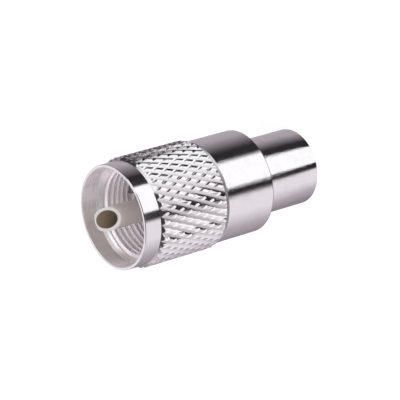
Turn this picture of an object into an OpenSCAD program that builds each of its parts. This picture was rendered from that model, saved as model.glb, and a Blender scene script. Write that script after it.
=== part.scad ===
// UHF cable plug, crimp type, for coaxial cable of about 10 mm.
// The plug stands on the rear end of its crimp ferrule, with its axis on Z and its mating end up.
// The side with the slanted cut of the centre pin faces -Y.

/* [Coupling nut] */
// Nominal diameter of the coupling thread
thread_d = 15.875; // [15:0.005:17]
// Height of the thread's ridges inside the nominal diameter
thread_height = 0.5875; // [0.5:0.0125:0.65]
// Wall of the nut's plain band outside the thread
nut_wall = 1.0625; // [0.9:0.0125:1.8]
// Length of the coupling nut
nut_len = 17.3; // [16.5:0.1:20]
// Length of the plain band from the rim to the knurl
front_band = 3.2; // [1:0.1:6]
// Gap between the thread's nominal diameter and the smooth mouth
mouth_gap = 0.55; // [0.1:0.05:0.6]
// Depth of the smooth mouth, measured from the rim
mouth_depth = 2.9; // [1:0.1:5]
// Length of the plain wall of the nut between its ring groove and the thread
groove_wall = 1.4; // [1:0.1:2.5]
// Bevel on the outer edge of the rim
rim_bevel = 0.05; // [0.05:0.05:0.2]
// How far the nut slides forward on the plug body
nut_travel = 3; // [1:0.1:4]

/* [Knurl] */
// Height of the knurled band above the plain band
knurl_rise = 0.5; // [0.45:0.05:0.8]
// Number of right-hand grooves round the nut
right_grooves = 40; // [30:1:50]
// Number of left-hand grooves round the nut
left_grooves = 40; // [30:1:50]
// Slant of the right-hand grooves to the axis, in degrees
right_slant = 24.8; // [20:0.1:32]
// Slant of the left-hand grooves to the axis, in degrees
left_slant = 25.7; // [20:0.1:32]
// Turn of the right-hand grooves, in shares of their spacing
right_phase = 0.48; // [0:0.01:1]
// Turn of the left-hand grooves, in shares of their spacing
left_phase = 0.31; // [0:0.01:1]
// Share of the right-hand spacing that the groove takes
right_open = 0.68; // [0.4:0.01:0.8]
// Share of the left-hand spacing that the groove takes
left_open = 0.42; // [0.3:0.01:0.7]
// Depth of the right-hand grooves, which leave ridges between them
right_depth = 0.42; // [0.3:0.01:0.45]
// Depth of the left-hand grooves, which notch those ridges
left_depth = 0.2; // [0.1:0.01:0.28]
// Length of the bevel at each end of the knurl
knurl_bevel = 0.45; // [0.2:0.05:0.8]

/* [Snap ring] */
// Width of the snap ring along the axis
ring_w = 1; // [0.6:0.1:1.2]
// Radial thickness of the snap ring
ring_t = 1.35; // [1.2:0.05:1.4]
// Opening of the split in the snap ring
ring_split = 2.4; // [1:0.1:5]

/* [Plug body] */
// Gap between the front flange and the thread's ridges
flange_gap = 0.1; // [0.05:0.05:0.3]
// Thickness of the front flange
flange_t = 1.9; // [1.2:0.1:2.4]
// Step from the flange down to the neck that the snap ring slides on
neck_step = 0.75; // [0.5:0.05:0.9]
// Wall of the neck round the insulator
neck_wall = 0.87; // [0.6:0.01:1.2]
// Length of the plain wall of the nut behind its ring groove
rear_wall = 1.8; // [1.2:0.1:2.4]
// Diameter of the smooth collar behind the nut
collar_d = 18; // [17:0.1:20]
// Length of the smooth collar
collar_len = 10.2; // [6:0.1:16]
// Bevel on the collar's edges
collar_bevel = 0.25; // [0.1:0.05:0.5]
// Height of the locking teeth on the front flange
tooth_h = 0.9; // [0.4:0.1:1.2]
// Width of the locking teeth
tooth_w = 1.8; // [1:0.1:3]
// Diameter of the cable bore through collar and spigot
cable_bore_d = 7.4; // [6:0.1:8]
// Wall of the crimp spigot under the ferrule
spigot_wall = 1.15; // [0.8:0.05:1.4]
// How far the spigot ends inside the ferrule
spigot_recess = 1.3; // [0.5:0.1:4]

/* [Crimp ferrule] */
// Gap between spigot and ferrule, for the cable's braid and jacket
braid_gap = 0.95; // [0.6:0.05:1.4]
// Wall of the ferrule
ferrule_wall = 0.875; // [0.7:0.025:1.2]
// Length of the ferrule
ferrule_len = 12.1; // [9:0.1:18]
// Radius on the ferrule's rear outer edge
ferrule_round = 0.5; // [0.2:0.05:0.55]

/* [Insulator and centre pin] */
// Length of the insulator
insulator_len = 7; // [6:0.1:7.2]
// How far the insulator lies behind the flange's front face
insulator_recess = 0.4; // [0.1:0.1:1]
// Diameter of the centre pin
pin_d = 3.96; // [3.8:0.01:4.1]
// Wall of the centre pin
pin_wall = 0.53; // [0.4:0.01:0.7]
// Step from the pin up to its seat inside the insulator
pin_seat_step = 0.27; // [0.15:0.01:0.4]
// Step from the seat up to the pin's flange inside the insulator
pin_flange_step = 0.75; // [0.5:0.05:1]
// How far the pin's tip stands in front of the nut's rim
pin_reach = 2.4; // [0.5:0.1:5]
// Depth of the slanted cut at the pin's tip
scoop_depth = 2.8; // [1:0.1:3.5]
// Width of the tip that the slanted cut leaves whole
scoop_rest = 0.4; // [0.3:0.05:2]

/* [Hidden] */
$fn = 96;

// Running gaps between pieces that move, and between pieces pressed into each other
turn_gap = 0.15;
ring_play = 0.1;
stop_gap = 0.1;
press_gap = 0.03;
// Depth by which a cut runs past a surface
past = 1;

// Heights, from the ferrule's rear end upwards
collar_z0 = ferrule_len;
collar_z1 = collar_z0 + collar_len;
nut_z0 = collar_z1 + stop_gap;
rim_z = nut_z0 + nut_len;
neck_z0 = nut_z0 + rear_wall;
ring_z0 = neck_z0 + ring_play;
neck_z1 = ring_z0 + ring_w + nut_travel + ring_play;
flange_z1 = neck_z1 + flange_t;
insulator_z1 = flange_z1 - insulator_recess;
insulator_z0 = insulator_z1 - insulator_len;
tip_z = rim_z + pin_reach;

// Diameters that follow from the thread, from the cable bore and from the centre pin
nut_d = thread_d + 2 * nut_wall;
mouth_d = thread_d + 2 * mouth_gap;
flange_d = thread_d - 2 * (thread_height + flange_gap);
neck_d = flange_d - 2 * neck_step;
insulator_d = neck_d - 2 * (neck_wall + press_gap);
spigot_d = cable_bore_d + 2 * spigot_wall;
ferrule_bore_d = spigot_d + 2 * braid_gap;
ferrule_d = ferrule_bore_d + 2 * ferrule_wall;
pin_bore_d = pin_d - 2 * pin_wall;
pin_seat_d = pin_d + 2 * pin_seat_step;
pin_flange_d = pin_seat_d + 2 * pin_flange_step;

// Nut: the bore behind the thread clears the flange, and the ring groove clears the ring
knurl_z1 = rim_z - front_band;
knurl_r = nut_d / 2 + knurl_rise;
nut_bore_r = flange_d / 2 + turn_gap;
ring_r = neck_d / 2 + turn_gap;
ring_groove_r = ring_r + ring_t + turn_gap;
ring_groove_z1 = neck_z0 + ring_w + 2 * ring_play;
thread_z0 = ring_groove_z1 + groove_wall;
mouth_z0 = rim_z - mouth_depth;
rim_bevel_len = 2 * rim_bevel;
mouth_bevel = 0.08;
thread_cone = 0.35;

// Knurl lattice: a counts the right-hand grooves and b the left-hand ones.
// a = right_grooves * turns - right_rate * z and b = left_grooves * turns + left_rate * z.
right_rate = right_grooves * tan(right_slant) / (2 * PI * knurl_r);
left_rate = left_grooves * tan(left_slant) / (2 * PI * knurl_r);
lattice = right_grooves * left_rate + left_grooves * right_rate;
// Groove counts at which the lattice starts: the phases hold at the rim's height, on the -Y side
right_start = right_phase - right_grooves / 4 - right_rate * rim_z;
left_start = left_phase - left_grooves / 4 + left_rate * rim_z;
groove_r = knurl_r - right_depth;
notch_r = knurl_r - left_depth;
// The lattice runs past both ends of the band by more than one diamond, and the band cuts it
knurl_spare = 3;
rows_z0 = nut_z0 - knurl_spare;
rows_z1 = knurl_z1 + knurl_spare;
rows = ceil((rows_z1 - rows_z0) * lattice / right_grooves);

// Body
land_r = nut_bore_r - turn_gap;
tooth_inset = 0.1;
tooth_t = 1.15;
tooth_r1 = flange_d / 2 - tooth_inset;
tooth_r0 = tooth_r1 - tooth_t;
tooth_angle = 68;
pilot_len = 0.8;
rib_pitch = 1.1;
rib_cut = 0.2;
rib_count = floor((ferrule_len - spigot_recess - pilot_len - rib_pitch) / rib_pitch);
edge_bevel = 0.15;

// Pin
pin_flange_len = 1.8;
pin_round = 0.25;
pin_funnel = 0.4;

// A ring groove of V shape as part of an outline, cut into radius r from height z downwards
function v_groove(r, z) = [[r, z], [r - rib_cut, z - rib_pitch / 4], [r, z - rib_pitch / 2]];

// A point of the knurl lattice at groove counts a and b and at radius r
function lattice_point(a, b, r) =
    let (turns = (left_rate * (a + right_start) + right_rate * (b + left_start)) / lattice,
         z = (right_grooves * (b + left_start) - left_grooves * (a + right_start)) / lattice)
    [r * cos(360 * turns), r * sin(360 * turns), z];

// The lowest left-hand count that column a of the lattice starts from
function first_row(a) =
    floor((lattice * rows_z0 + left_grooves * (a + right_start)) / right_grooves - left_start);

// Number of the vertex at count (a, b) on the bottom of right-hand groove a
function bottom(a, b) = a == right_grooves
    ? bottom(0, b - left_grooves)
    : a * (rows + 2) + b - first_row(a - 1);

// Number of the vertex at corner k of the flat top of diamond (a, b)
function top(a, b, k) =
    right_grooves * (rows + 2) + 4 * (a * rows + b - first_row(a)) + k;

// Number of the vertex at end k of the notch that cuts ridge a at left-hand count b
function notch(a, b, k) =
    right_grooves * (5 * rows + 2) + 2 * (a * (rows + 1) + b - first_row(a)) + k;

// The two triangles of a four-cornered face
function halves(q) = [[q[0], q[1], q[2]], [q[0], q[2], q[3]]];

// Knurled bar, one polyhedron: flat-topped ridges between the right-hand grooves,
// notched by the shallower left-hand ones. Fans of triangles to the axis close its ends.
module knurled_bar() {
    u = right_open / 2;
    v = left_open / 2;
    // Where the notch's bottom comes out of the ridge's side
    w = u * (1 - left_depth / right_depth);
    corners = [[u, v], [1 - u, v], [1 - u, 1 - v], [u, 1 - v]];
    columns = [0 : right_grooves - 1];
    points = concat(
        [for (a = columns, k = [0 : rows + 1]) lattice_point(a, first_row(a - 1) + k, groove_r)],
        [for (a = columns, k = [0 : rows - 1], c = corners)
            lattice_point(a + c[0], first_row(a) + k + c[1], knurl_r)],
        [for (a = columns, k = [0 : rows], side = [w, 1 - w])
            lattice_point(a + side, first_row(a) + k, notch_r)],
        [[0, 0, rows_z0], [0, 0, rows_z1]]
    );
    axis_low = len(points) - 2;
    axis_high = len(points) - 1;
    diamonds = [for (a = columns, k = [0 : rows - 1])
        let (b = first_row(a) + k,
             t = [for (n = [0 : 3]) top(a, b, n)],
             low = [bottom(a, b), bottom(a + 1, b), bottom(a + 1, b + 1), bottom(a, b + 1)],
             cut = [notch(a, b, 0), notch(a, b, 1), notch(a, b + 1, 1), notch(a, b + 1, 0)])
        each concat(
            halves([t[3], t[2], t[1], t[0]]),
            halves([t[0], t[1], cut[1], cut[0]]),
            halves([t[2], t[3], cut[3], cut[2]]),
            [[low[1], cut[1], t[1]], [low[1], t[1], t[2]], [low[1], t[2], low[2]], [low[2], t[2], cut[2]]],
            [[low[3], cut[3], t[3]], [low[3], t[3], t[0]], [low[3], t[0], low[0]], [low[0], t[0], cut[0]]]
        )];
    ends = [for (a = columns)
        let (b = first_row(a), step = first_row(a + 1) - b)
        each concat(
            [[bottom(a, b), notch(a, b, 0), axis_low]],
            [[notch(a, b, 0), notch(a, b, 1), axis_low]],
            [[notch(a, b, 1), bottom(a + 1, b), axis_low]],
            [[notch(a, b + rows, 0), bottom(a, b + rows), axis_high]],
            [[notch(a, b + rows, 1), notch(a, b + rows, 0), axis_high]],
            [[bottom(a + 1, b + rows), notch(a, b + rows, 1), axis_high]],
            step == 0 ? [] : [
                [bottom(a + 1, b), bottom(a + 1, b + 1), axis_low],
                [bottom(a + 1, b + rows + 1), bottom(a + 1, b + rows), axis_high]
            ]
        )];
    polyhedron(points, concat(diamonds, ends), convexity = 4);
}

// Outline of the knurled band: bevelled at both ends, down into the nut's wall
module knurl_band_outline() {
    inner_r = nut_d / 2 - knurl_rise;
    outer_r = knurl_r + knurl_rise;
    bevel_out = knurl_bevel * (outer_r - nut_d / 2) / knurl_rise;
    polygon([
        [inner_r, nut_z0 + edge_bevel],
        [nut_d / 2, nut_z0 + edge_bevel],
        [outer_r, nut_z0 + edge_bevel + bevel_out],
        [outer_r, knurl_z1 - bevel_out],
        [nut_d / 2, knurl_z1],
        [inner_r, knurl_z1]
    ]);
}

// Outline of the nut without its knurl
module nut_outline() {
    r = nut_d / 2;
    polygon([
        [nut_bore_r, nut_z0],
        [r - edge_bevel, nut_z0],
        [r, nut_z0 + edge_bevel],
        [r, rim_z - rim_bevel_len],
        [r - rim_bevel, rim_z],
        [mouth_d / 2 + mouth_bevel, rim_z],
        [mouth_d / 2, rim_z - mouth_bevel],
        [mouth_d / 2, mouth_z0],
        [thread_d / 2, mouth_z0 - (mouth_d - thread_d) / 2],
        [thread_d / 2, thread_z0],
        [nut_bore_r, thread_z0 - thread_cone],
        [nut_bore_r, ring_groove_z1],
        [ring_groove_r, ring_groove_z1],
        [ring_groove_r, neck_z0],
        [nut_bore_r, neck_z0]
    ]);
}

module coupling_nut() {
    color("silver") union() {
        rotate_extrude() nut_outline();
        intersection() {
            rotate_extrude() knurl_band_outline();
            knurled_bar();
        }
    }
}

// Split spring ring: it sits in the nut's groove and slides along the body's neck
module snap_ring() {
    color("goldenrod") difference() {
        translate([0, 0, ring_z0]) cylinder(r = ring_r + ring_t, h = ring_w);
        translate([0, 0, ring_z0 - past]) cylinder(r = ring_r, h = ring_w + 2 * past);
        translate([0, -ring_split / 2, ring_z0 - past]) cube([nut_d, ring_split, ring_w + 2 * past]);
    }
}

// Outline of the plug body: flange, neck, land, collar and ribbed crimp spigot round one bore
module body_outline() {
    collar_r = collar_d / 2;
    spigot_r = spigot_d / 2;
    pilot_r = ferrule_bore_d / 2 - press_gap;
    pocket_r = insulator_d / 2 + press_gap;
    bore_r = cable_bore_d / 2;
    ribs_z1 = collar_z0 - pilot_len - rib_pitch / 2;
    polygon(concat(
        [
            [bore_r, insulator_z0],
            [pocket_r, insulator_z0],
            [pocket_r, flange_z1],
            [flange_d / 2 - edge_bevel, flange_z1],
            [flange_d / 2, flange_z1 - edge_bevel],
            [flange_d / 2, neck_z1],
            [neck_d / 2, neck_z1],
            [neck_d / 2, neck_z0],
            [land_r, neck_z0],
            [land_r, collar_z1],
            [collar_r - collar_bevel, collar_z1],
            [collar_r, collar_z1 - collar_bevel],
            [collar_r, collar_z0 + collar_bevel],
            [collar_r - collar_bevel, collar_z0],
            [pilot_r, collar_z0],
            [pilot_r, collar_z0 - pilot_len],
            [spigot_r, collar_z0 - pilot_len]
        ],
        [for (k = [0 : rib_count - 1]) each v_groove(spigot_r, ribs_z1 - k * rib_pitch)],
        [
            [spigot_r, spigot_recess + edge_bevel],
            [spigot_r - edge_bevel, spigot_recess],
            [bore_r + edge_bevel, spigot_recess],
            [bore_r, spigot_recess + edge_bevel]
        ]
    ));
}

// Two teeth on the flange's face that catch the notches of the socket's rim
module locking_teeth() {
    intersection() {
        difference() {
            translate([0, 0, flange_z1]) cylinder(r = tooth_r1, h = tooth_h);
            translate([0, 0, flange_z1 - past]) cylinder(r = tooth_r0, h = tooth_h + 2 * past);
        }
        rotate([0, 0, tooth_angle]) translate([-nut_d / 2, -tooth_w / 2, flange_z1 - past])
            cube([nut_d, tooth_w, tooth_h + 2 * past]);
    }
}

module plug_body() {
    color("silver") union() {
        rotate_extrude() body_outline();
        locking_teeth();
    }
}

module crimp_ferrule() {
    r = ferrule_d / 2;
    bore_r = ferrule_bore_d / 2;
    color("silver") rotate_extrude() union() {
        polygon([
            [bore_r, edge_bevel],
            [bore_r + edge_bevel, 0],
            [r - ferrule_round, 0],
            [r - ferrule_round, ferrule_round],
            [r, ferrule_round],
            [r, ferrule_len - edge_bevel],
            [r - edge_bevel, ferrule_len],
            [bore_r, ferrule_len]
        ]);
        translate([r - ferrule_round, ferrule_round]) intersection() {
            circle(r = ferrule_round);
            translate([0, -ferrule_round]) square(ferrule_round);
        }
    }
}

// Stepped bush that carries the centre pin: the pin's flange lies in its rear recess
module insulator() {
    seat_r = pin_seat_d / 2 + press_gap;
    flange_r = pin_flange_d / 2 + press_gap;
    flange_z = insulator_z0 + press_gap + pin_flange_len;
    color("ivory") rotate_extrude() polygon([
        [flange_r, insulator_z0],
        [insulator_d / 2, insulator_z0],
        [insulator_d / 2, insulator_z1],
        [seat_r, insulator_z1],
        [seat_r, flange_z],
        [flange_r, flange_z]
    ]);
}

// Hollow centre pin, with a slanted cut that opens one side of the tip for solder
module centre_pin() {
    r = pin_d / 2;
    bore_r = pin_bore_d / 2;
    z0 = insulator_z0 + press_gap;
    scoop_y = r - scoop_rest;
    scoop_slant = atan(scoop_depth / (r + scoop_y));
    color("silver") difference() {
        rotate_extrude() union() {
            polygon([
                [bore_r + pin_funnel, z0],
                [pin_flange_d / 2, z0],
                [pin_flange_d / 2, z0 + pin_flange_len],
                [pin_seat_d / 2, z0 + pin_flange_len],
                [pin_seat_d / 2, insulator_z1],
                [r, insulator_z1],
                [r, tip_z - pin_round],
                [r - pin_round, tip_z - pin_round],
                [r - pin_round, tip_z],
                [bore_r, tip_z],
                [bore_r, z0 + pin_funnel]
            ]);
            translate([r - pin_round, tip_z - pin_round]) intersection() {
                circle(r = pin_round);
                square(pin_round);
            }
        }
        translate([0, scoop_y, tip_z]) rotate([scoop_slant, 0, 0])
            translate([-pin_d, -2 * pin_d, 0]) cube([2 * pin_d, 2 * pin_d, 2 * pin_d]);
    }
}

coupling_nut();
snap_ring();
plug_body();
crimp_ferrule();
insulator();
centre_pin();
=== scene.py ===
"""UHF cable plug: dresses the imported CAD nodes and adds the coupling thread.

The plug stands on the rear end of its crimp ferrule with its axis on Z.
Names that end in _MM are in millimetres, and all other lengths are in metres.
"""

import math

import bmesh
import bpy
from mathutils import Matrix, Vector


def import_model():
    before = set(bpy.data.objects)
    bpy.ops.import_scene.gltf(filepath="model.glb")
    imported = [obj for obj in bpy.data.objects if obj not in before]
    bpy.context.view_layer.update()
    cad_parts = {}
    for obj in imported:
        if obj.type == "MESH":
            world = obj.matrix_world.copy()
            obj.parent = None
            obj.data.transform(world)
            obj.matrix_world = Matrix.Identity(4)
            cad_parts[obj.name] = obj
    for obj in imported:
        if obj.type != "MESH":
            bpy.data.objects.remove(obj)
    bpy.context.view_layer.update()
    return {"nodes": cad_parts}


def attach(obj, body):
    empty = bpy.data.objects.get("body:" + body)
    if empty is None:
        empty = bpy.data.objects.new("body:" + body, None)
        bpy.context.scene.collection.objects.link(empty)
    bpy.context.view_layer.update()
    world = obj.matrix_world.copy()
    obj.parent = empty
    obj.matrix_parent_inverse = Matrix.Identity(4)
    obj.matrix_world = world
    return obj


MM = 0.001
WHITE = (1, 1, 1, 1)

# Heights on the plug, from the ferrule's rear end
FERRULE_LINE_MM = 2.8
FERRULE_TOP_MM = 12.1
COLLAR_TOP_MM = 22.3
THREAD_STOP_MM = 26.8
THREAD_START_MM = 36.25
RIM_MM = 39.7

# Radii on the plug
PIN_BORE_R_MM = 1.45
CABLE_BORE_R_MM = 3.7
PLAIN_R_MM = 9.0
GROOVE_R_MM = 9.08
KNURL_R_MM = 9.5
# Just outside the wall of the nut's mouth: what lies nearer the axis is the inside of the nut
INNER_R_MM = 8.52

# Coupling thread, 24 turns to the inch
THREAD_PITCH_MM = 25.4 / 24
THREAD_ROOT_R_MM = 7.97
THREAD_CREST_R_MM = 7.35
# Widths of the ridge at its root and at its crest, as shares of the pitch
THREAD_ROOT_WIDTH = 7 / 8
THREAD_CREST_WIDTH = 1 / 4
THREAD_STEPS_PER_TURN = 72
# The cone of the mouth's chamfer, which also cuts the thread's first turn: height less radius
MOUTH_CONE_MM = 28.31
# Edges sharper than this many degrees stay sharp on the pieces that this script makes
CREASE = 35

# Camera, fitted to the photograph, with its angles in degrees
CAMERA_AIM_MM = (-1.208, 0.0, 21.544)
CAMERA_DISTANCE_MM = 374.32
CAMERA_AZIMUTH = -0.23
CAMERA_ELEVATION = 35.95
CAMERA_ROLL = 106.18
CAMERA_LENS_MM = 198.0
CAMERA_SENSOR_MM = 36.0
CAMERA_CLIP = (0.01, 10.0)

# Colours of the metals and plastics, of what lies on them, and of painted light and shade
NICKEL = (0.80, 0.785, 0.80, 1)
# Painted light: inside the nut the plate is paler than outside
NICKEL_PAINTED_LIGHT_INSIDE = (0.99, 0.945, 0.97, 1)
# Painted reflection: a darker, warm tone on one side of the nut's mouth
NICKEL_WARM_REFLECTION = (0.60, 0.53, 0.50, 1)
# Warm plate; on the pin's shaft inside the nut it is also painted shade
NICKEL_WARM = (0.70, 0.64, 0.595, 1)
NICKEL_DULL = (0.50, 0.48, 0.50, 1)
# Painted shade: a dark line along the collar's rear edge
PAINTED_SHADE = (0.10, 0.09, 0.095, 1)
BRASS_DULL = (0.25, 0.19, 0.133, 1)
BRONZE = (0.62, 0.42, 0.24, 1)
BRONZE_DARK = (0.40, 0.25, 0.13, 1)
PTFE = (0.87, 0.86, 0.83, 1)
PTFE_GREY = (0.76, 0.74, 0.70, 1)

# Soft edges of the marks: start and end, as distances past a radius or height named above
KNURL_FOOT_MM = (0.02, 0.08)
NUT_WALL_MM = (0.0, 0.03)
MOUTH_FOOT_MM = (0.0, 0.3)
CABLE_BORE_WALL_MM = (0.05, 0.2)
RUBBED_START_MM = (-0.24, -0.2)
RUBBED_END_MM = (0.0, 0.02)
PAINTED_SHADE_TOP_MM = (0.25, 0.42)
PAINTED_SHADE_RIM_MM = (-0.3, -0.2)
PIN_BORE_WALL_MM = (0.03, 0.1)
PIN_SHADE_TOP_MM = (-0.6, 0.4)
# Half the width of the ferrule's line, as the start and end of its soft edge
LINE_HALF_WIDTH_MM = (0.03, 0.12)
# How far below the knurl's points the plate begins to darken
KNURL_POINT_MM = 0.1
# The way from the axis to the side of the mouth's wall that carries a painted warm reflection, and
# where its soft edge lies
WARM_REFLECTION_X = -0.34
WARM_REFLECTION_Y = 0.94
WARM_REFLECTION_EDGE = (0.55, 0.92)

# Shares in which the colour of a mark covers the plate
CLOUD_SHARE = 0.15
GROOVE_SHARE = 0.35
STREAK_SHARE = 0.45
BAND_SHARE = 0.3
WARM_REFLECTION_SHARE = 0.6
CABLE_BORE_SHARE = 0.7
PAINTED_SHADE_SHARE = 0.75
PIN_SHARE = 0.2
PIN_SHADE_SHARE = 0.7
PTFE_GREY_SHARE = 0.6

# Roughness of the finishes, and what clouds, specks and marks add to it
PLATE_ROUGHNESS = 0.07
PIN_ROUGHNESS = 0.26
BRONZE_ROUGHNESS = 0.28
PTFE_ROUGHNESS = 0.42
PLATE_CLOUD_ROUGHNESS = 0.02
PLATE_SPECK_ROUGHNESS = 0.04
BRONZE_CLOUD_ROUGHNESS = 0.15
PTFE_CLOUD_ROUGHNESS = 0.12
NUT_WALL_ROUGHNESS = 0.14
MOUTH_ROUGHNESS = 0.06
CABLE_BORE_ROUGHNESS = 0.15
RUBBED_ROUGHNESS = 0.25
LINE_ROUGHNESS = 0.1
PIN_BORE_ROUGHNESS = 0.5

# Metallic value of the pin, and what marks take from a piece's metallic value
PIN_METALLIC = 0.7
NUT_WALL_DULLNESS = 0.4
MOUTH_DULLNESS = 0.1
RUBBED_DULLNESS = 0.25
PIN_BORE_DULLNESS = 0.6

# Depths of the bumps
FINE_GRAIN_MM = 0.0003
PIT_MM = 0.0072
LATHE_MARK_MM = 0.0008
TOOL_MARK_MM = 0.02
DRAWN_MARK_MM = 0.006
LINE_MM = 0.008
# How fast marks left by turning change across the axis, against 1 along it
TURNED_RATE = 0.05

# Studio cards that the metal mirrors: azimuth from the front towards -X in degrees, and brightness.
# Near the plug they are a grey wall behind, a dark flag, the white card, a narrow black flag, and a
# pale wall that fades.
NEAR_CARDS = (
    (-180, 0.50), (-120, 0.47), (-75, 0.03), (-51, 0.03), (-47.5, 1.25), (9, 1.25),
    (11.3, 0.02), (26, 0.03), (33, 0.95), (70, 0.95), (110, 0.52), (160, 0.30), (180, 0.30),
)
# The cards farther out on the floor, at the horizon, and at two heights above it
FAR_CARDS = (
    (-180, 0.40), (-120, 0.35), (-90, 0.12), (-60, 0.05), (-52, 1.20), (20, 1.15),
    (60, 0.95), (90, 0.73), (130, 0.45), (180, 0.35),
)
HORIZON_CARDS = (
    (-180, 0.40), (-120, 0.35), (-90, 0.12), (-60, 0.05), (-32, 0.08), (-26, 1.20), (20, 1.15),
    (60, 0.95), (90, 0.73), (130, 0.45), (180, 0.35),
)
RAISED_CARDS = (
    (-180, 0.98), (-140, 0.95), (-132, 0.06), (-84, 0.06), (-76, 1.20), (-36, 1.20),
    (-30, 0.05), (98, 0.05), (110, 0.60), (140, 0.95), (180, 0.98),
)
HIGH_CARDS = (
    (-180, 0.98), (-100, 0.95), (-78, 1.10), (-72, 1.20), (-36, 1.20),
    (-30, 0.05), (60, 0.05), (96, 0.10), (106, 0.60), (140, 0.95), (180, 0.98),
)
TOP_CARD = (1.0, 0.98, 1.0, 1)
# Green and blue of a card against its red: green rises with the card's brightness
CARD_GREEN = 0.86
CARD_GREEN_RISE = 0.09
CARD_BLUE = 0.985
# Radii on the studio's floor where the far cards and the horizon's begin, and the soft edge there
FAR_CARDS_FROM_MM = 72.0
HORIZON_CARDS_FROM_MM = 320.0
CARD_EDGE_MM = 2.0
# Heights of a direction, as sines, where the upper rows begin, and the soft edge there
RAISED_CARDS_FROM = 0.17
HIGH_CARDS_FROM = 0.58
TOP_CARD_FROM = 0.89
ROW_EDGE = 0.03
# Close to the plug the cards are drawn narrower, so that every height mirrors them alike
CARD_NARROWING_MM = 3.8
CARDS_RADIUS = 2.9
CARDS_HEIGHT = 0.0002

# The even light of the world, the floor, and the one lamp
AMBIENT = (0.86, 0.86, 0.86, 1)
FLOOR_PAINT = (0.3, 0.3, 0.3, 1)
FLOOR_GLOW = 0.78
FLOOR_HALF_SIDE = 3.0
KEY_PLACE = (-0.3, -0.5, 0.7)
KEY_AIM = (0, 0, 0.02)
KEY_SIDE = 0.4
KEY_WATTS = 3.0


class Value:
    """A socket whose arithmetic adds Math nodes."""

    def __init__(self, graph, socket):
        self.graph = graph
        self.socket = socket

    def _math(self, operation, a, b):
        return self.graph.number("ShaderNodeMath", {"operation": operation}, {0: a, 1: b})

    def __add__(self, other):
        return self._math("ADD", self, other)

    def __radd__(self, other):
        return self._math("ADD", other, self)

    def __sub__(self, other):
        return self._math("SUBTRACT", self, other)

    def __rsub__(self, other):
        return self._math("SUBTRACT", other, self)

    def __mul__(self, other):
        return self._math("MULTIPLY", self, other)

    def __rmul__(self, other):
        return self._math("MULTIPLY", other, self)

    def __truediv__(self, other):
        return self._math("DIVIDE", self, other)

    def __rtruediv__(self, other):
        return self._math("DIVIDE", other, self)


class Graph:
    """A material or world node tree that is built by expressions."""

    def __init__(self, tree):
        self.tree = tree
        tree.nodes.clear()

    def node(self, kind, settings=None, inputs=None):
        """Adds one node: its settings first, then the values or links of its sockets."""
        node = self.tree.nodes.new(kind)
        for name, value in (settings or {}).items():
            if name == "stops":
                self._set_stops(node.color_ramp, value)
            else:
                setattr(node, name, value)
        for name, value in (inputs or {}).items():
            if isinstance(value, Value):
                self.tree.links.new(value.socket, node.inputs[name])
            elif isinstance(value, bpy.types.NodeSocket):
                self.tree.links.new(value, node.inputs[name])
            else:
                node.inputs[name].default_value = value
        return node

    def _set_stops(self, ramp, stops):
        while len(ramp.elements) < len(stops):
            ramp.elements.new(1.0)
        for element, (position, colour) in zip(ramp.elements, stops):
            element.position = position
            element.color = colour

    def number(self, kind, settings=None, inputs=None):
        """Adds one node and gives its first output as a Value."""
        return Value(self, self.node(kind, settings, inputs).outputs[0])

    def smooth(self, value, low, high):
        """0 below low and 1 above high, with a soft step between."""
        return self.number(
            "ShaderNodeMapRange",
            {"interpolation_type": "SMOOTHSTEP"},
            {"Value": value, "From Min": low, "From Max": high, "To Min": 0.0, "To Max": 1.0},
        )

    def past(self, value, limit, edge):
        """0 before a limit and 1 past it, with a soft edge given by two distances from the limit."""
        return self.smooth(value, limit + edge[0], limit + edge[1])

    def mix_colours(self, share, first, second):
        """The first colour, covered by a share of the second."""
        return self.node(
            "ShaderNodeMix",
            {"data_type": "RGBA"},
            {"Factor": share, 6: first, 7: second},
        ).outputs[2]

    def noise(self, place, scale, detail, roughness):
        return self.number(
            "ShaderNodeTexNoise",
            {},
            {"Vector": place, "Scale": scale, "Detail": detail, "Roughness": roughness},
        )

    def azimuth(self, x, y):
        """The angle round the plug's axis, from the front towards -X, in radians."""
        return self.number("ShaderNodeMath", {"operation": "ARCTAN2"}, {0: 0 - x, 1: 0 - y})


class Place:
    """Object coordinates in millimetres, and the distance from the plug's axis."""

    def __init__(self, graph):
        self.graph = graph
        point = graph.node("ShaderNodeTexCoord").outputs["Object"]
        self.point = graph.node(
            "ShaderNodeVectorMath", {"operation": "SCALE"}, {0: point, "Scale": 1 / MM}
        ).outputs[0]
        parts = graph.node("ShaderNodeSeparateXYZ", {}, {0: self.point})
        self.x, self.y, self.z = (Value(graph, parts.outputs[k]) for k in range(3))
        self.radius = graph.number(
            "ShaderNodeMath", {"operation": "SQRT"}, {0: self.x * self.x + self.y * self.y}
        )

    def turned(self):
        """A place that changes slowly round the axis, for marks left by turning."""
        return self.graph.node(
            "ShaderNodeCombineXYZ",
            {},
            {0: self.x * TURNED_RATE, 1: self.y * TURNED_RATE, 2: self.z + self.radius},
        ).outputs[0]

    def across(self):
        """A place that is the same at every height, for bands along the axis."""
        return self.graph.node("ShaderNodeCombineXYZ", {}, {0: self.x, 1: self.y}).outputs[0]


def new_material(name):
    material = bpy.data.materials.new(name)
    material.use_nodes = True
    return material, Graph(material.node_tree)


def finish_surface(graph, colour, roughness, metallic, height_mm):
    """Closes a material: one Principled shader with its bump."""
    normal = graph.node(
        "ShaderNodeBump", {}, {"Strength": 1.0, "Distance": MM, "Height": height_mm}
    ).outputs[0]
    surface = graph.node(
        "ShaderNodeBsdfPrincipled",
        {},
        {"Base Color": colour, "Roughness": roughness, "Metallic": metallic, "Normal": normal},
    )
    graph.node("ShaderNodeOutputMaterial", {}, {"Surface": surface.outputs[0]})


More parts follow.
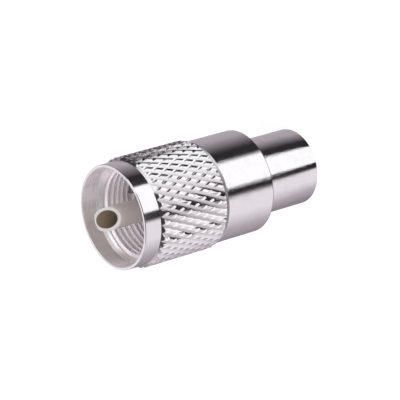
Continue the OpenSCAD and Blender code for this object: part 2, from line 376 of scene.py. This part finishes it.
def nickel_grain(graph, place, pits, turning):
    """Height of the plate's grain and pits and of the lathe's marks under it."""
    fine = graph.noise(place.point, scale=8.0, detail=2.0, roughness=0.6)
    grit = graph.noise(place.point, scale=5.5, detail=0.0, roughness=0.5)
    lathe = graph.noise(place.turned(), scale=14.0, detail=2.0, roughness=0.6)
    return fine * FINE_GRAIN_MM + grit * (PIT_MM * pits) + lathe * (LATHE_MARK_MM * turning)


def plated_nickel(name, marks, base_roughness, pits, turning):
    """Bright, faintly clouded nickel plate, to which marks adds what one piece has of its own."""
    material, graph = new_material(name)
    place = Place(graph)
    cloud = graph.noise(place.point, scale=0.35, detail=3.0, roughness=0.55)
    speck = graph.noise(place.point, scale=5.0, detail=2.0, roughness=0.6)
    clouded = graph.smooth(cloud, low=0.45, high=0.75) * CLOUD_SHARE
    colour = graph.mix_colours(clouded, NICKEL, NICKEL_DULL)
    height = nickel_grain(graph, place, pits, turning)
    roughness = base_roughness + cloud * PLATE_CLOUD_ROUGHNESS + speck * PLATE_SPECK_ROUGHNESS
    finish_surface(graph, *marks(graph, place, colour, roughness, height))
    return material


def nut_marks(graph, place, colour, roughness, height):
    """Darker plate in the knurl's grooves; inside the nut, plate painted paler as painted light,
    streaked, and partly darkened by a painted warm reflection.
    """
    deep = 1 - graph.smooth(place.radius, GROOVE_R_MM, KNURL_R_MM - KNURL_POINT_MM)
    on_knurl = graph.past(place.radius, PLAIN_R_MM, KNURL_FOOT_MM)
    colour = graph.mix_colours(deep * on_knurl * GROOVE_SHARE, colour, NICKEL_DULL)
    inside = 1 - graph.past(place.radius, INNER_R_MM, NUT_WALL_MM)
    # Painted light: the inside of the nut takes a paler copy of the plate
    colour = graph.mix_colours(inside, colour, NICKEL_PAINTED_LIGHT_INSIDE)

    mouth = inside * graph.past(place.z, THREAD_START_MM, MOUTH_FOOT_MM)
    tool = graph.noise(place.turned(), scale=5.0, detail=3.0, roughness=0.7)
    streaks = graph.smooth(tool, low=0.42, high=0.66)
    patches = graph.noise(place.across(), scale=0.45, detail=2.0, roughness=0.5)
    bands = graph.smooth(patches, low=0.42, high=0.6)
    marked = mouth * (streaks * STREAK_SHARE + bands * BAND_SHARE)
    colour = graph.mix_colours(marked, colour, NICKEL_DULL)
    # Painted reflection: one side of the mouth's wall is darker and warmer
    towards = (place.y * WARM_REFLECTION_Y + place.x * WARM_REFLECTION_X) / INNER_R_MM
    warm_reflection = graph.past(towards, 0, WARM_REFLECTION_EDGE)
    colour = graph.mix_colours(mouth * warm_reflection * WARM_REFLECTION_SHARE, colour, NICKEL_WARM_REFLECTION)

    roughness = roughness + inside * NUT_WALL_ROUGHNESS + mouth * MOUTH_ROUGHNESS
    metallic = 1 - inside * NUT_WALL_DULLNESS - mouth * MOUTH_DULLNESS
    return colour, roughness, metallic, height + inside * tool * TOOL_MARK_MM


def body_marks(graph, place, colour, roughness, height):
    """Warm plate in the cable bore, the collar's front edge rubbed, and a line of painted shade at
    its rear edge.
    """
    bore = 1 - graph.past(place.radius, CABLE_BORE_R_MM, CABLE_BORE_WALL_MM)
    colour = graph.mix_colours(bore * CABLE_BORE_SHARE, colour, NICKEL_WARM)
    rubbed = graph.past(place.z, COLLAR_TOP_MM, RUBBED_START_MM)
    rubbed = rubbed * (1 - graph.past(place.z, COLLAR_TOP_MM, RUBBED_END_MM))
    # Painted shade: a dark line round the collar's rear edge, where the ferrule leaves it
    painted_shade = 1 - graph.past(place.z, FERRULE_TOP_MM, PAINTED_SHADE_TOP_MM)
    painted_shade = painted_shade * graph.past(place.radius, PLAIN_R_MM, PAINTED_SHADE_RIM_MM)
    colour = graph.mix_colours(painted_shade * PAINTED_SHADE_SHARE, colour, PAINTED_SHADE)
    roughness = roughness + bore * CABLE_BORE_ROUGHNESS + rubbed * RUBBED_ROUGHNESS
    return colour, roughness, 1 - rubbed * RUBBED_DULLNESS, height


def ferrule_marks(graph, place, colour, roughness, height):
    """A faint line turned round the tube near its rear end."""
    offset = place.z - FERRULE_LINE_MM
    distance = graph.number("ShaderNodeMath", {"operation": "ABSOLUTE"}, {0: offset})
    line = 1 - graph.past(distance, 0, LINE_HALF_WIDTH_MM)
    return colour, roughness + line * LINE_ROUGHNESS, 1.0, height - line * LINE_MM


def pin_marks(graph, place, colour, roughness, height):
    """Warm plate on the pin, painted shade on its shaft below the nut's rim, and bare brass in its
    bore.
    """
    bore = 1 - graph.past(place.radius, PIN_BORE_R_MM, PIN_BORE_WALL_MM)
    # Painted shade: the shaft below the nut's rim is darker and warmer
    shaded_shaft = 1 - graph.past(place.z, RIM_MM, PIN_SHADE_TOP_MM)
    colour = graph.mix_colours(shaded_shaft * PIN_SHADE_SHARE + PIN_SHARE, colour, NICKEL_WARM)
    colour = graph.mix_colours(bore, colour, BRASS_DULL)
    roughness = roughness + bore * PIN_BORE_ROUGHNESS
    return colour, roughness, PIN_METALLIC - bore * PIN_BORE_DULLNESS, height


def spring_bronze():
    """Drawn spring bronze, darker in patches."""
    material, graph = new_material("spring_bronze")
    place = Place(graph)
    cloud = graph.noise(place.point, scale=0.8, detail=3.0, roughness=0.6)
    drawn = graph.noise(place.turned(), scale=20.0, detail=2.0, roughness=0.6)
    colour = graph.mix_colours(graph.smooth(cloud, low=0.35, high=0.7), BRONZE, BRONZE_DARK)
    roughness = BRONZE_ROUGHNESS + cloud * BRONZE_CLOUD_ROUGHNESS
    finish_surface(graph, colour, roughness, 1.0, drawn * DRAWN_MARK_MM)
    return material


def white_ptfe():
    """Turned PTFE: white and waxy, a little grey in patches."""
    material, graph = new_material("white_ptfe")
    place = Place(graph)
    cloud = graph.noise(place.point, scale=0.7, detail=3.0, roughness=0.6)
    turning = graph.noise(place.turned(), scale=6.0, detail=2.0, roughness=0.7)
    grey = graph.smooth(cloud, low=0.45, high=0.8) * PTFE_GREY_SHARE
    colour = graph.mix_colours(grey, PTFE, PTFE_GREY)
    roughness = PTFE_ROUGHNESS + cloud * PTFE_CLOUD_ROUGHNESS
    finish_surface(graph, colour, roughness, 0.0, turning * TOOL_MARK_MM)
    return material


def dress(node, material):
    """Gives a node from the frame one material in all its slots."""
    for slot in node.material_slots:
        slot.material = material
    if not node.material_slots:
        node.data.materials.append(material)


def finished_piece(name, bm, material):
    """Turns a bmesh into an object with its normals, shading and material."""
    bmesh.ops.recalc_face_normals(bm, faces=bm.faces)
    mesh = bpy.data.meshes.new(name)
    bm.to_mesh(mesh)
    bm.free()
    for polygon in mesh.polygons:
        polygon.use_smooth = True
    mesh.set_sharp_from_angle(angle=math.radians(CREASE))
    mesh.materials.append(material)
    piece = bpy.data.objects.new(name, mesh)
    bpy.context.scene.collection.objects.link(piece)
    return piece


def all_geometry(bm):
    return list(bm.verts) + list(bm.edges) + list(bm.faces)


def coupling_thread(material):
    """The right-hand ridge inside the nut, spun along its helix and cut by the mouth's chamfer."""
    bm = bmesh.new()
    half_root = THREAD_PITCH_MM * THREAD_ROOT_WIDTH / 2
    half_crest = THREAD_PITCH_MM * THREAD_CREST_WIDTH / 2
    turns = (THREAD_START_MM - THREAD_STOP_MM) / THREAD_PITCH_MM + 1
    low = THREAD_STOP_MM - THREAD_PITCH_MM / 2
    outline = [
        (THREAD_ROOT_R_MM, low - half_root),
        (THREAD_CREST_R_MM, low - half_crest),
        (THREAD_CREST_R_MM, low + half_crest),
        (THREAD_ROOT_R_MM, low + half_root),
    ]
    section = bm.faces.new([bm.verts.new((0, -r * MM, z * MM)) for r, z in outline])
    bmesh.ops.bisect_edges(bm, edges=list(section.edges), cuts=2)
    steps = round(turns * THREAD_STEPS_PER_TURN)
    bmesh.ops.spin(
        bm,
        geom=all_geometry(bm),
        cent=(0, 0, 0),
        axis=(0, 0, 1),
        dvec=(0, 0, turns * THREAD_PITCH_MM * MM / steps),
        angle=turns * math.tau,
        steps=steps,
        use_merge=False,
        use_duplicate=False,
    )
    for height, side in ((THREAD_START_MM, 1), (THREAD_STOP_MM, -1)):
        cut = bmesh.ops.bisect_plane(
            bm,
            geom=all_geometry(bm),
            plane_co=(0, 0, height * MM),
            plane_no=(0, 0, side),
            clear_outer=True,
        )
        rims = [e for e in cut["geom_cut"] if isinstance(e, bmesh.types.BMEdge)]
        bmesh.ops.holes_fill(bm, edges=rims, sides=0)
    # What would stand in the mouth's chamfer is moved out onto its cone
    for vert in bm.verts:
        radius = math.hypot(vert.co.x, vert.co.y)
        cone_radius = vert.co.z - MOUTH_CONE_MM * MM
        if radius < cone_radius:
            vert.co.xy = vert.co.xy * (cone_radius / radius)
    return finished_piece("coupling_thread", bm, material)


def place_camera():
    """The photograph's viewpoint: above the mating end, rolled so that the plug lies across it."""
    azimuth = math.radians(CAMERA_AZIMUTH)
    elevation = math.radians(CAMERA_ELEVATION)
    back = Vector((
        math.sin(azimuth) * math.cos(elevation),
        -math.cos(azimuth) * math.cos(elevation),
        math.sin(elevation),
    ))
    upright = (-back).to_track_quat("-Z", "Y").to_matrix()
    roll = Matrix.Rotation(-math.radians(CAMERA_ROLL), 3, "Z")
    data = bpy.data.cameras.new("photo_camera")
    data.lens = CAMERA_LENS_MM
    data.sensor_width = CAMERA_SENSOR_MM
    data.clip_start, data.clip_end = CAMERA_CLIP
    camera = bpy.data.objects.new("photo_camera", data)
    camera.matrix_world = Matrix.Translation(
        Vector(CAMERA_AIM_MM) * MM + back * CAMERA_DISTANCE_MM * MM
    ) @ (upright @ roll).to_4x4()
    bpy.context.scene.collection.objects.link(camera)
    bpy.context.scene.camera = camera


def soft_key():
    """One soft lamp in front of the plug, high on the -X side, which the metal doesn't mirror."""
    data = bpy.data.lights.new("soft_key", "AREA")
    data.shape = "RECTANGLE"
    data.size = KEY_SIDE
    data.size_y = KEY_SIDE
    data.energy = KEY_WATTS
    lamp = bpy.data.objects.new("soft_key", data)
    lamp.location = KEY_PLACE
    lamp.rotation_mode = "QUATERNION"
    lamp.rotation_quaternion = (Vector(KEY_AIM) - Vector(KEY_PLACE)).to_track_quat("-Z", "Y")
    lamp.visible_glossy = False
    bpy.context.scene.collection.objects.link(lamp)


def pale_floor():
    """A plain pale floor that keeps a soft shadow."""
    material, graph = new_material("pale_floor")
    light = graph.node("ShaderNodeLightPath")
    seen = Value(graph, light.outputs["Is Camera Ray"]) + light.outputs["Is Glossy Ray"]
    seen = seen + light.outputs["Is Transmission Ray"]
    paint = graph.node("ShaderNodeBsdfDiffuse", {}, {"Color": FLOOR_PAINT})
    glow = graph.node("ShaderNodeEmission", {}, {"Color": WHITE, "Strength": seen * FLOOR_GLOW})
    both = graph.node("ShaderNodeAddShader", {}, {0: paint.outputs[0], 1: glow.outputs[0]})
    graph.node("ShaderNodeOutputMaterial", {}, {"Surface": both.outputs[0]})
    bm = bmesh.new()
    bmesh.ops.create_grid(bm, x_segments=1, y_segments=1, size=FLOOR_HALF_SIDE)
    floor = finished_piece("floor", bm, material)


def card_tint(brightness):
    """White for the bright cards, and the faint lavender of the studio for the others."""
    if brightness > 1:
        return (brightness, brightness, brightness, 1)
    green = brightness * (CARD_GREEN + CARD_GREEN_RISE * brightness)
    return (brightness, green, brightness * CARD_BLUE, 1)


def card_colours(graph, azimuth, cards):
    """The colours of one row of cards round the plug, from azimuths and brightnesses."""
    stops = [((degrees + 180) / 360, card_tint(brightness)) for degrees, brightness in cards]
    share = azimuth * (1 / math.tau) + 0.5
    return graph.node("ShaderNodeValToRGB", {"stops": stops}, {0: share}).outputs[0]


def studio_cards():
    """A disc of pale and dark cards round the plug's foot, which only its reflections see."""
    material, graph = new_material("studio_cards")
    place = Place(graph)
    azimuth = graph.azimuth(place.x, place.y)
    near_azimuth = azimuth * (place.radius / (place.radius - CARD_NARROWING_MM))
    colour = card_colours(graph, near_azimuth, NEAR_CARDS)
    for start, row in (
        (FAR_CARDS_FROM_MM, FAR_CARDS),
        (HORIZON_CARDS_FROM_MM, HORIZON_CARDS),
    ):
        share = graph.past(place.radius, start, (-CARD_EDGE_MM, CARD_EDGE_MM))
        colour = graph.mix_colours(share, colour, card_colours(graph, azimuth, row))
    glow = graph.node("ShaderNodeEmission", {}, {"Color": colour, "Strength": 1.0})
    graph.node("ShaderNodeOutputMaterial", {}, {"Surface": glow.outputs[0]})
    bm = bmesh.new()
    bmesh.ops.create_circle(bm, cap_ends=True, segments=64, radius=CARDS_RADIUS)
    bmesh.ops.translate(bm, vec=(0, 0, CARDS_HEIGHT), verts=bm.verts)
    disc = finished_piece("studio_cards", bm, material)
    disc.visible_camera = False
    disc.visible_diffuse = False
    disc.visible_shadow = False
    disc.visible_transmission = False


def studio_world():
    """Even light for everything, white for the camera, and the studio's cards for reflections."""
    world = bpy.data.worlds.new("studio")
    world.use_nodes = True
    graph = Graph(world.node_tree)
    light = graph.node("ShaderNodeLightPath")
    direction = graph.node("ShaderNodeTexCoord").outputs["Generated"]
    parts = graph.node("ShaderNodeSeparateXYZ", {}, {0: direction})
    x, y, z = (Value(graph, parts.outputs[k]) for k in range(3))
    azimuth = graph.azimuth(x, y)
    cards = card_colours(graph, azimuth, HORIZON_CARDS)
    for start, row in (
        (RAISED_CARDS_FROM, card_colours(graph, azimuth, RAISED_CARDS)),
        (HIGH_CARDS_FROM, card_colours(graph, azimuth, HIGH_CARDS)),
        (TOP_CARD_FROM, TOP_CARD),
    ):
        cards = graph.mix_colours(graph.past(z, start, (0, ROW_EDGE)), cards, row)
    colour = graph.mix_colours(light.outputs["Is Glossy Ray"], AMBIENT, cards)
    colour = graph.mix_colours(light.outputs["Is Camera Ray"], colour, WHITE)
    back = graph.node("ShaderNodeBackground", {}, {"Color": colour, "Strength": 1.0})
    graph.node("ShaderNodeOutputWorld", {}, {"Surface": back.outputs[0]})
    bpy.context.scene.world = world


def plated_pieces(nodes):
    """Dresses the plated pieces, and gives the nut's plate for the thread inside it."""
    nut = plated_nickel("nickel_nut", nut_marks, PLATE_ROUGHNESS, pits=0.5, turning=1.6)
    body = plated_nickel("nickel_body", body_marks, PLATE_ROUGHNESS, pits=2.4, turning=0.6)
    ferrule = plated_nickel(
        "nickel_ferrule", ferrule_marks, PLATE_ROUGHNESS, pits=2.8, turning=0.6
    )
    pin = plated_nickel("nickel_pin", pin_marks, PIN_ROUGHNESS, pits=0.8, turning=0.8)
    dress(nodes["coupling_nut"], nut)
    dress(nodes["plug_body"], body)
    dress(nodes["crimp_ferrule"], ferrule)
    dress(nodes["centre_pin"], pin)
    return nut


def main():
    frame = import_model()
    nodes = frame["nodes"]
    nickel_nut = plated_pieces(nodes)
    dress(nodes["snap_ring"], spring_bronze())
    dress(nodes["insulator"], white_ptfe())
    thread = coupling_thread(nickel_nut)
    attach(thread, "nut")
    place_camera()
    pale_floor()
    studio_cards()
    studio_world()
    soft_key()
    view = bpy.context.scene.view_settings
    view.view_transform = "Standard"


main()
